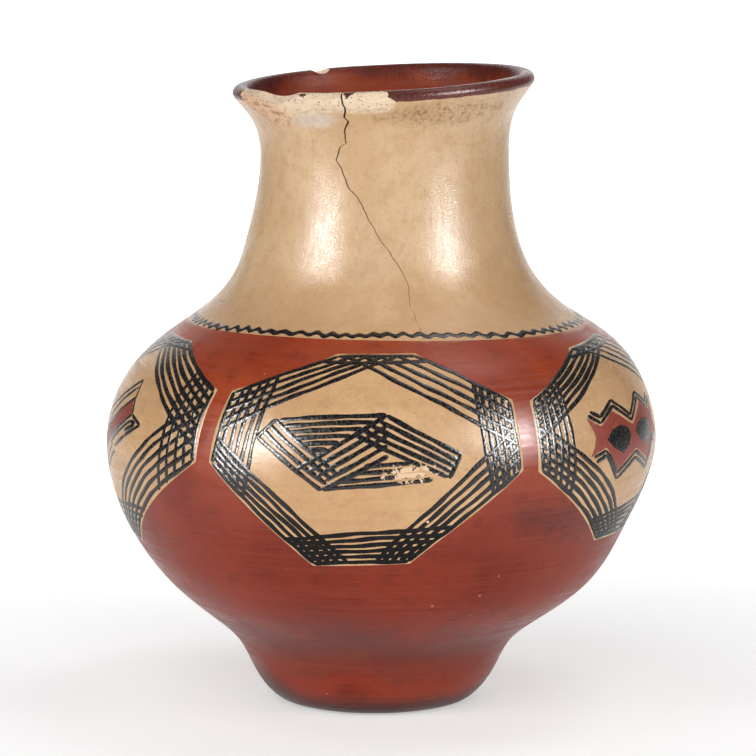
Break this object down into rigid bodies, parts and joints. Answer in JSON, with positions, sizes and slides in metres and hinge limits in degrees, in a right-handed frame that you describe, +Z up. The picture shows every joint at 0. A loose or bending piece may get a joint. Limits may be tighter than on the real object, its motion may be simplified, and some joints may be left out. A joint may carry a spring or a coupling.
{
  "type": "pueblo pottery jar",
  "caption": "Coil-built earthenware jar with a rounded foot, wide belly, tall flaring neck and open mouth, slipped red and cream with painted black line panels; it holds dry goods or water.",
  "frame": {"origin": "middle of the jar's widest round, on the plane of its flat base", "axes": "+Z up through the mouth; -Y towards the side with the front panel, +X to its right"},
  "size_m": [0.25, 0.2499, 0.2882],
  "materials": {
    "coil_clay": "fired buff-orange clay, matt, scraped inside",
    "base_clay": "fired clay darkened by smoke clouds, matt",
    "red_slip": "stone-polished red slip, soft gloss",
    "red_lip": "dark red slip over the lip and mouth, worn and chipped",
    "cream_slip": "stone-polished cream slip, glossy in places",
    "painted_cream_slip": "polished cream slip with black and red painted lines"
  },
  "bodies": {
    "root": {"base_pat": "base_clay", "cream_neck_slip": "cream_slip", "foot_coil_1": "coil_clay", "lower_belly_coil_1": "coil_clay", "lower_belly_coil_2": "coil_clay", "lower_belly_coil_3": "coil_clay", "lower_belly_coil_4": "coil_clay", "lower_belly_coil_5": "coil_clay", "neck_coil_1": "coil_clay", "neck_coil_2": "coil_clay", "neck_coil_3": "coil_clay", "neck_coil_4": "coil_clay", "painted_panel_1": "painted_cream_slip", "painted_panel_2": "painted_cream_slip", "painted_panel_3": "painted_cream_slip", "painted_panel_4": "painted_cream_slip", "painted_panel_5": "painted_cream_slip", "red_body_slip": "red_slip", "rim_coil": "red_lip", "shoulder_coil_1": "coil_clay", "shoulder_coil_2": "coil_clay", "shoulder_coil_3": "coil_clay", "shoulder_coil_4": "coil_clay"}
  },
  "joints": []
}
